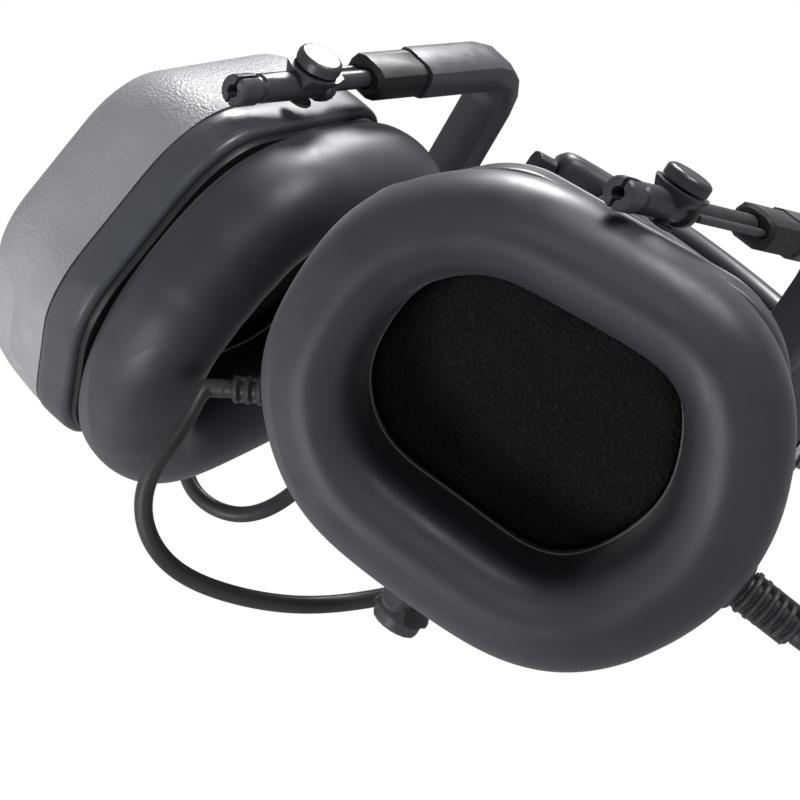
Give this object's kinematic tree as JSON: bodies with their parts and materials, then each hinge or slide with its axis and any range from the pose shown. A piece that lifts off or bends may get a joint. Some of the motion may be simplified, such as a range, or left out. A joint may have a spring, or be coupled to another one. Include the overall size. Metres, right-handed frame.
{
  "type": "radio headphones",
  "caption": "Over-head radio headphones with deep padded ear cups that turn on rod arms, sliding arms, a padded spring headband and a radio cable.",
  "frame": {"origin": "middle of the flat top of the crown cover", "axes": "+X towards the right ear cup, +Y up through the crown of the worn headset, +Z from the rear pivots to the front pivots; the headset lies on its side"},
  "size_m": [0.2922, 0.2183, 0.1532],
  "materials": {
    "shell": "fine moulded leather grain, satin",
    "trim": "smooth satin, slightly bluish",
    "black": "matt black",
    "arm": "satin black coating",
    "steel": "dull spring steel",
    "cushion": "smooth satin artificial leather",
    "foam": "open-cell acoustic foam",
    "rubber": "moulded ribs, satin",
    "cable": "smooth cable jacket",
    "board": "green solder mask",
    "brass": "polished contact metal"
  },
  "bodies": {
    "crown": {"crown_strip": "steel", "crown_cover": "cushion", "crown_cushion": "cushion", "left_band_clip": "black", "right_band_clip": "black"},
    "left_band": {"left_band_strip": "steel", "left_band_screw": "steel", "left_yoke": "trim", "left_front_sleeve": "black", "left_rear_sleeve": "black"},
    "left_arms": {"left_front_arm": "arm", "left_rear_arm": "arm", "left_front_guide_wire": "arm", "left_rear_guide_wire": "arm"},
    "left_cup": {"left_shell": "shell", "left_trim_ring": "trim", "left_cushion_plate": "black", "left_baffle": "black", "left_cushion": "cushion", "left_foam": "foam", "left_speaker": "steel", "left_outer_plate": "trim", "left_front_pivot_cap": "arm", "left_rear_pivot_cap": "arm", "left_cable_boot": "rubber", "left_link_cable": "cable", "left_battery": "steel"},
    "right_band": {"right_band_strip": "steel", "right_band_screw": "steel", "right_yoke": "trim", "right_front_sleeve": "black", "right_rear_sleeve": "black"},
    "right_arms": {"right_front_arm": "arm", "right_rear_arm": "arm", "right_front_guide_wire": "arm", "right_rear_guide_wire": "arm"},
    "right_cup": {"right_shell": "shell", "right_trim_ring": "trim", "right_cushion_plate": "black", "right_baffle": "black", "right_cushion": "cushion", "right_foam": "foam", "right_speaker": "steel", "right_outer_plate": "trim", "right_front_pivot_cap": "arm", "right_rear_pivot_cap": "arm", "right_cable_boot": "rubber", "right_link_cable": "cable", "right_lead_boot": "rubber", "right_lead_cable": "cable", "right_plug_body": "black", "right_plug_pin": "brass", "right_circuit_board": "board"},
    "battery_cap": {"left_battery_cap": "black"},
    "volume_knob": {"right_volume_knob": "black"},
    "power_button": {"right_power_button": "rubber"}
  },
  "joints": [
    {"name": "left_band_flex", "type": "hinge", "parent": "crown", "child": "left_band", "pos_m": [-0.05258, -0.03344, 0], "axis": [-0.0846, 0.2419, -0.9666], "range_deg": [0, 20], "stiffness_Nm_per_rad": 4},
    {"name": "left_arm_slide", "type": "slide", "parent": "left_band", "child": "left_arms", "axis": [0.0211, 0.9703, 0.241], "range_m": [-0.02, 0.002]},
    {"name": "left_cup_tilt", "type": "hinge", "parent": "left_arms", "child": "left_cup", "pos_m": [-0.05043, -0.1446, -0.02801], "axis": [0.0846, -0.2419, 0.9666], "range_deg": [-23, 4], "deforming": ["left_link_cable"]},
    {"name": "right_band_flex", "type": "hinge", "parent": "crown", "child": "right_band", "pos_m": [0.05258, -0.03344, 0], "axis": [0, 0, 1], "range_deg": [0, 20], "stiffness_Nm_per_rad": 4},
    {"name": "right_arm_slide", "type": "slide", "parent": "right_band", "child": "right_arms", "axis": [0, 1, 0], "range_m": [0, 0.022]},
    {"name": "right_cup_tilt", "type": "hinge", "parent": "right_arms", "child": "right_cup", "pos_m": [0.048, -0.168, 0], "axis": [0, 0, 1], "range_deg": [-130, 15], "deforming": ["right_link_cable"]},
    {"name": "volume_turn", "type": "hinge", "parent": "right_cup", "child": "volume_knob", "pos_m": [0.04778, -0.13562, 0], "axis": [0.4384, -0.8988, 0], "range_deg": [0, 280]},
    {"name": "power_press", "type": "slide", "parent": "right_cup", "child": "power_button", "axis": [0.4384, -0.8988, 0], "range_m": [0, 0.0012], "stiffness_N_per_m": 60},
    {"name": "battery_cap_turn", "type": "hinge", "parent": "left_cup", "child": "battery_cap", "pos_m": [-0.07885, -0.15238, -0.02747], "axis": [0.9894, 0.135, -0.0528], "range_deg": [0, 60]}
  ]
}
